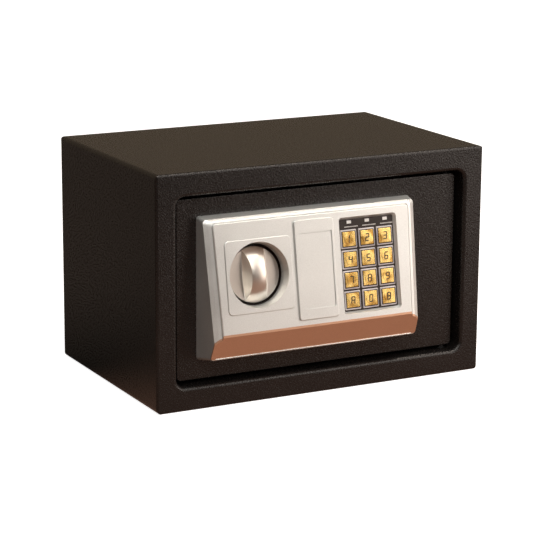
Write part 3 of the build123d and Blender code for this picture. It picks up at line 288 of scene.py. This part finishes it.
# ---------------------------------------------------------------- pieces on the keys and the keypad
def add_mesh(name, material, body, build):
    """New mesh object, made by build(bm), riding on a body."""
    bm = bmesh.new()
    build(bm)
    bmesh.ops.recalc_face_normals(bm, faces=bm.faces)
    mesh = bpy.data.meshes.new(name)
    bm.to_mesh(mesh)
    bm.free()
    mesh.materials.append(material)
    obj = bpy.data.objects.new(name, mesh)
    bpy.context.scene.collection.objects.link(obj)
    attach(obj, body)
    return obj


def circle(centre, radius, sides):
    """Points of a circle round a 2-D centre."""
    turns = [2 * math.pi * i / sides for i in range(sides)]
    return [centre + Vector((math.cos(t), math.sin(t))) * radius for t in turns]


def levels(node):
    """Lowest and highest point of a node along the leaning face's normal."""
    depths = [v.co.dot(FACE_OUT) for v in nodes[node].data.vertices]
    return min(depths), max(depths)


def face_point(node, level):
    """Point over the middle of a node, at a level along the leaning face's normal."""
    point = FACE_OUT * level
    for axis in (FACE_X, FACE_UP):
        places = [v.co.dot(axis) for v in nodes[node].data.vertices]
        point = point + axis * (min(places) + max(places)) / 2
    return point


def on_face(origin, x, y, level):
    """Point at x and y along the leaning face from origin, raised by level."""
    return origin + FACE_X * x + FACE_UP * y + FACE_OUT * level


def join_rings(bm, a, b):
    """Band of four-sided faces between two closed rings of vertices."""
    for i in range(len(a)):
        j = (i + 1) % len(a)
        bm.faces.new((a[i], a[j], b[j], b[i]))


def bar(bm, origin, start, end, width, low, high):
    """Flat bar with pointed ends between two points of the leaning face."""
    along = (Vector(end) - Vector(start)).normalized()
    side = Vector((-along.y, along.x)) * width / 2
    a = Vector(start)
    b = Vector(end)
    tip = along * width / 2
    outline = [a - tip, a + side, b + side, b + tip, b - side, a - side]
    rings = [[bm.verts.new(on_face(origin, p.x, p.y, level)) for p in outline] for level in (low, high)]
    bm.faces.new(rings[1])
    bm.faces.new(rings[0][::-1])
    join_rings(bm, *rings)


DIGIT_W = 0.0030
DIGIT_H = 0.0057
STROKE = 0.0009
STROKE_GAP = 0.35
SLANT = 0.10
DIGIT_SINK = 0.0002
DIGIT_RAISE = 0.00008
# Strokes of each sign: t, m and b run along the top, middle and bottom, l and r are the upper
# sides, L and R the lower sides, and c and C the upper and lower half of a middle upright.
SIGNS = {
    "1": "cC", "2": "trmLb", "3": "trmRb", "4": "lmrR", "5": "tlmRb", "6": "tlmLRb",
    "7": "trR", "8": "tlrmLRb", "9": "tlrmRb", "a": "tlrmLR", "0": "tlrLRb", "b": "tlrmLRb",
}


def strokes():
    """Both ends of every stroke, from the middle of a key."""
    x = DIGIT_W / 2
    y = DIGIT_H / 2
    gap = STROKE * STROKE_GAP
    ends = {
        "t": ((-x + gap, y), (x - gap, y)),
        "m": ((-x + gap, 0), (x - gap, 0)),
        "b": ((-x + gap, -y), (x - gap, -y)),
        "l": ((-x, gap), (-x, y - gap)),
        "r": ((x, gap), (x, y - gap)),
        "L": ((-x, -y + gap), (-x, -gap)),
        "R": ((x, -y + gap), (x, -gap)),
        "c": ((0, gap), (0, y)),
        "C": ((0, -y), (0, -gap)),
    }
    return {k: [(px + SLANT * py, py) for px, py in v] for k, v in ends.items()}


digit_ink = moulded("digit_ink", (0.045, 0.025, 0.012), 0.5)
for sign, parts in SIGNS.items():
    key = f"key_{sign}"
    top = levels(key)[1]

    def build(bm, parts=parts, top=top, key=key):
        lines = strokes()
        for stroke in parts:
            bar(bm, face_point(key, top), *lines[stroke], STROKE, -DIGIT_SINK, DIGIT_RAISE)

    add_mesh(f"digit_{sign}", digit_ink, f"button_{sign}", build)


# Dark ring round every key: painted shade standing in for the shadow between key and frame.
GAP_SHADE_IN = 0.00616
GAP_SHADE_OUT = 0.0068
GAP_SHADE_CORNER = 0.0003
GAP_SHADE_SINK = 0.0006
GAP_SHADE_RAISE = 0.0001


def square_ring(bm, origin, inner, outer, corner, low, high):
    """Square ring with cut corners, lying on the leaning face; inner and outer are half widths."""
    rings = []
    for half, level in ((inner, low), (outer, low), (outer, high), (inner, high)):
        short = half - corner
        outline = [(half, short), (short, half), (-short, half), (-half, short)]
        outline += [(-half, -short), (-short, -half), (short, -half), (half, -short)]
        rings.append([bm.verts.new(on_face(origin, x, y, level)) for x, y in outline])
    for a, b in zip(rings, rings[1:] + rings[:1]):
        join_rings(bm, a, b)


def make_key_gap_shade():
    """Dark ring in the gap between each key and its frame: painted shade standing in for the shadow in
    the gap.
    """
    frame_top = levels("key_frames")[1]

    def build(bm):
        for sign in SIGNS:
            middle = face_point(f"key_{sign}", frame_top)
            square_ring(bm, middle, GAP_SHADE_IN, GAP_SHADE_OUT, GAP_SHADE_CORNER, -GAP_SHADE_SINK, GAP_SHADE_RAISE)

    add_mesh("key_gap_shade_rings", key_gap_shade_look, "door", build)


# near-black look of the painted shade in the key gaps
key_gap_shade_look = moulded("key_gap_shade_look", (0.012, 0.010, 0.009), 0.6)
make_key_gap_shade()


MARKS = range(-3, 4)
MARK_PITCH = 0.0013
MARK_LONG = 0.0007
MARK_WIDE = 0.0009
MARK_DROP = 0.0040
MARK_SINK = 0.0001
MARK_RAISE = 0.00006
LENS_HALF = 0.0021
LENS_APART = 0.003


def make_lens_marks():
    """Rows of short dashes on the plate under each lens."""
    columns = sorted(v.co.x for v in nodes["led_lenses"].data.vertices)
    starts = [x for before, x in zip([-1.0] + columns, columns) if x - before > LENS_APART]
    top = levels("keypad_plate")[1]
    low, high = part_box("led_lenses")
    middle = (low + high) / 2

    def build(bm):
        for start in starts:
            origin = Vector((start + LENS_HALF, middle.y, middle.z))
            origin = origin + FACE_OUT * (top - origin.dot(FACE_OUT)) - FACE_UP * MARK_DROP
            for place in MARKS:
                left = place * MARK_PITCH - MARK_LONG / 2
                bar(bm, origin, (left, 0), (left + MARK_LONG, 0), MARK_WIDE, -MARK_SINK, MARK_RAISE)

    add_mesh("lens_marks", mark_grey, "door", build)


mark_grey = moulded("mark_grey", (0.55, 0.53, 0.51), 0.5)
make_lens_marks()


RIB_R = 0.0006
RIB_SIDES = 16
# from the strip's ends to the rib's
RIB_END = 0.0035
# distance from the rib's end, and the share of its radius there
RIB_TAPER = [(0.0, 0.15), (0.0004, 0.6), (0.0012, 1.0)]
# height over the strip's lowest point that counts as its lower edge
EDGE_BAND = 0.0004


def make_strip_rib():
    """Thin round rib, half sunk into the lower edge of the coloured strip."""
    points = [v.co for v in nodes["bezel_trim_strip"].data.vertices]
    lowest = min(p.z for p in points)
    edge = [p for p in points if p.z < lowest + EDGE_BAND]
    front = min(p.y for p in edge)
    left = min(p.x for p in edge) + RIB_END
    right = max(p.x for p in edge) - RIB_END
    stations = [(left + x, share) for x, share in RIB_TAPER]
    stations += [(right - x, share) for x, share in RIB_TAPER[::-1]]

    def build(bm):
        rings = []
        for x, share in stations:
            section = circle(Vector((front, lowest)), RIB_R * share, RIB_SIDES)
            rings.append([bm.verts.new((x, y, z)) for y, z in section])
        for a, b in zip(rings, rings[1:]):
            join_rings(bm, a, b)
        bm.faces.new(rings[0])
        bm.faces.new(rings[-1])
        for face in bm.faces:
            face.smooth = True

    add_mesh("strip_rib", look["silver_plastic"], "door", build)


make_strip_rib()


# ---------------------------------------------------------------- felt mat on the safe's floor
MAT_HOLE_X = 0.075
MAT_HOLE_R = 0.007
MAT_HOLE_SIDES = 36
MAT_TRIM = 0.0005
MAT_CORNER = 0.004
MAT_SPACING = 0.005
MAT_INSETS = (0.0, 0.0008, 0.0016)
MAT_INSIDE = 0.01
MAT_MARGIN = 0.004
MAT_ACROSS = 44
MAT_ALONG = 28
MAT_STAGGER = 0.25
# rate per metre, height in metres and slice of the felt's slow waves and of its fine fuzz
MAT_WAVE = (28, 0.00035, 3.1)
MAT_FUZZ = (210, 0.00012, 8.4)
MAT_SINK = 0.0009
MAT_BELOW = 0.0002


def rounded_outline(half_x, half_y, radius, inset):
    """Outline of the mat, moved in by inset, as points about 5 mm apart."""
    points = []
    for quarter, (sx, sy) in enumerate(((1, 1), (-1, 1), (-1, -1), (1, -1))):
        centre = Vector((sx * (half_x - radius), sy * (half_y - radius)))
        for step in range(7):
            angle = math.radians(90 * quarter + 15 * step)
            points.append(centre + Vector((math.cos(angle), math.sin(angle))) * (radius - inset))
    dense = []
    for a, b in zip(points, points[1:] + points[:1]):
        count = max(1, round((b - a).length / MAT_SPACING))
        dense.extend(a.lerp(b, i / count) for i in range(count))
    return dense


def ripple(point, pattern):
    """Height of one noise pattern of the felt at a point."""
    rate, height, row = pattern
    return noise.noise(Vector((point.x * rate, point.y * rate, row))) * height


def mat_height(point, edge_distance, top):
    """Height of the felt's upper side: slightly uneven, and sinking towards every cut edge."""
    sink = MAT_SINK * max(0.0, 1.0 - edge_distance / MAT_INSETS[-1]) ** 2
    return top - MAT_BELOW + ripple(point, MAT_WAVE) + ripple(point, MAT_FUZZ) - sink


def make_felt_mat():
    """Thick sheet of felt with two anchor holes, meshed from its outline, its holes and a grid."""
    low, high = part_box("floor_mat")
    half_x = (high.x - low.x) / 2 - MAT_TRIM
    half_y = (high.y - low.y) / 2 - MAT_TRIM
    middle = Vector(((low.x + high.x) / 2, (low.y + high.y) / 2))
    holes = [Vector((x, 0.0)) - middle for x in (-MAT_HOLE_X, MAT_HOLE_X)]
    loops = [(rounded_outline(half_x, half_y, MAT_CORNER, inset), inset) for inset in MAT_INSETS]
    for hole in holes:
        loops.extend((circle(hole, MAT_HOLE_R + inset, MAT_HOLE_SIDES), inset) for inset in MAT_INSETS)
    points = []
    distance = []
    edges = []
    for loop, inset in loops:
        first = len(points)
        points.extend(loop)
        distance.extend([inset] * len(loop))
        edges.extend((first + i, first + (i + 1) % len(loop)) for i in range(len(loop)))
    for i in range(MAT_ACROSS):
        for j in range(MAT_ALONG):
            shift = MAT_STAGGER * (j % 2)
            spot = Vector(((i + 0.5 + shift) / MAT_ACROSS * 2 - 1, (j + 0.5) / MAT_ALONG * 2 - 1))
            spot = Vector((spot.x * (half_x - MAT_MARGIN), spot.y * (half_y - MAT_MARGIN)))
            if all((spot - hole).length > MAT_HOLE_R + MAT_MARGIN for hole in holes):
                points.append(spot)
                distance.append(MAT_INSIDE)
    spots, _, faces, originals, _, _ = geometry.delaunay_2d_cdt(points, edges, [], 1, 1e-6)

    def build(bm):
        upper = []
        lower = []
        for spot, original in zip(spots, originals):
            place = spot + middle
            height = mat_height(spot, distance[original[0]] if original else MAT_INSIDE, high.z)
            upper.append(bm.verts.new((place.x, place.y, height)))
            lower.append(bm.verts.new((place.x, place.y, low.z)))
        for face in faces:
            centre = sum((spots[i] for i in face), Vector((0, 0))) / len(face)
            if any((centre - hole).length < MAT_HOLE_R for hole in holes):
                continue
            bm.faces.new([upper[i] for i in face])
            bm.faces.new([lower[i] for i in reversed(face)])
        partner = dict(zip(upper, lower))
        open_edges = [edge for edge in bm.edges if len(edge.link_faces) == 1]
        for edge in [edge for edge in open_edges if edge.verts[0] in partner]:
            a, b = edge.verts
            bm.faces.new((a, b, partner[b], partner[a]))
        bmesh.ops.delete(bm, geom=[v for v in bm.verts if not v.link_faces], context="VERTS")
        for face in bm.faces:
            face.smooth = True

    mat = add_mesh("felt_mat", look["carpet"], "body", build)
    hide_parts("floor_mat")


make_felt_mat()


# ---------------------------------------------------------------- floor, world and lights
STAGE_SIZE = 8.0
STAGE_GAP = 0.0002
FLOOR_GLOW = 0.88
# Emitted colours of the unseen table: painted light of a lit table, bright in front, a painted shadow
# of the safe under and just behind it, dimmer far away.
LIT_TABLE_GLOW = (0.35, 0.185, 0.125)
TABLE_SHADE = (0.02, 0.016, 0.012)
FAR_TABLE_GLOW = (0.115, 0.083, 0.065)
TABLE_FRONT = -0.65
TABLE_SPAN = (-0.1, 0.35)
ROOM = (0.058, 0.052, 0.047)
BACKDROP = (0.215, 0.164, 0.113)
WORLD_SPAN = (0.1, 0.55)
WARM = (1.0, 0.95, 0.90)
FRONT_AIM = (0, -0.1, 0.1)
REAR_AIM = (0, 0.1, 0.1)
# name, place, aim, width and height, power in watts, and colour
LIGHTS = [
    ("key_light", (1.42, -1.36, 0.72), FRONT_AIM, (1.1, 1.9), 23.5, (1.0, 0.88, 0.80)),
    ("over_light", (0.95, -0.55, 1.9), FRONT_AIM, (0.5, 0.5), 10, (1.0, 0.86, 0.74)),
    ("front_light", (-0.5, -1.65, 2.15), FRONT_AIM, (2.6, 2.8), 64, WARM),
    ("rear_light", (2.6, 1.3, 1.0), REAR_AIM, (1.6, 1.4), 8, WARM),
]


def stage_plane(name, front, height, material):
    """Flat rectangle from the front line to the far edge of the stage."""
    size = STAGE_SIZE
    mesh = bpy.data.meshes.new(name)
    corners = [(-size, front), (size, front), (size, size), (-size, size)]
    mesh.from_pydata([(x, y, height) for x, y in corners], [], [(0, 1, 2, 3)])
    mesh.materials.append(material)
    plane = bpy.data.objects.new(name, mesh)
    bpy.context.scene.collection.objects.link(plane)
    return plane


def make_floor():
    """White floor for the eye, and in its place a glowing brown table top for reflected and scattered
    light: its emission is painted light of a lit table, with a painted shadow of the safe under and
    just behind it.
    """
    ground = cad_box[0][2] - STAGE_GAP
    glow = {"Emission_Color": (1, 1, 1, 1), "Emission_Strength": FLOOR_GLOW}
    white = Shader("floor_look", (0.9, 0.9, 0.9), 0.9, **glow)
    floor = stage_plane("floor", -STAGE_SIZE, ground, white.material)
    floor.visible_diffuse = False
    floor.visible_glossy = False
    floor.visible_shadow = False
    brown = Shader("table_glow_look", (0.0, 0.0, 0.0), 0.9, Emission_Strength=1.0)
    split = brown.tree.nodes.new("ShaderNodeSeparateXYZ")
    brown.tree.links.new(brown.coords, split.inputs[0])
    back = brown.spread(split.outputs["Y"], 0.0, 1.0, *TABLE_SPAN)
    # painted light: the table glows brighter in front, with a painted shadow under and behind the safe
    stops = [(0.0, LIT_TABLE_GLOW), (0.35, TABLE_SHADE), (1.0, FAR_TABLE_GLOW)]
    brown.drive("Emission Color", brown.ramp(back, stops))
    table = stage_plane("table", TABLE_FRONT, ground - STAGE_GAP, brown.material)
    table.visible_camera = False
    table.visible_shadow = False


def area_light(name, place, aim, size, power, colour):
    """Rectangular light at a place, facing its aim."""
    data = bpy.data.lights.new(name, "AREA")
    data.shape = "RECTANGLE"
    data.size, data.size_y = size
    data.energy = power
    data.color = colour
    light = bpy.data.objects.new(name, data)
    bpy.context.scene.collection.objects.link(light)
    light.location = place
    light.rotation_euler = (Vector(aim) - Vector(place)).to_track_quat("-Z", "Y").to_euler()


def make_world():
    """Dim room in front, warmer backdrop behind, white where the camera sees past the floor."""
    world = bpy.data.worlds.new("studio")
    bpy.context.scene.world = world
    world.use_nodes = True
    tree = world.node_tree
    tree.nodes.clear()
    link = tree.links.new
    coords = tree.nodes.new("ShaderNodeTexCoord")
    split = tree.nodes.new("ShaderNodeSeparateXYZ")
    link(coords.outputs["Generated"], split.inputs[0])
    ramp = tree.nodes.new("ShaderNodeValToRGB")
    for element, place, colour in zip(ramp.color_ramp.elements, WORLD_SPAN, (ROOM, BACKDROP)):
        element.position = place
        element.color = (*colour, 1)
    link(split.outputs["Y"], ramp.inputs["Fac"])
    room = tree.nodes.new("ShaderNodeBackground")
    link(ramp.outputs["Color"], room.inputs["Color"])
    white = tree.nodes.new("ShaderNodeBackground")
    white.inputs["Color"].default_value = (1, 1, 1, 1)
    mix = tree.nodes.new("ShaderNodeMixShader")
    link(tree.nodes.new("ShaderNodeLightPath").outputs["Is Camera Ray"], mix.inputs["Fac"])
    link(room.outputs[0], mix.inputs[1])
    link(white.outputs[0], mix.inputs[2])
    link(mix.outputs[0], tree.nodes.new("ShaderNodeOutputWorld").inputs[0])


make_floor()
make_world()
for light in LIGHTS:
    area_light(*light)
bpy.context.scene.view_settings.view_transform = "Standard"
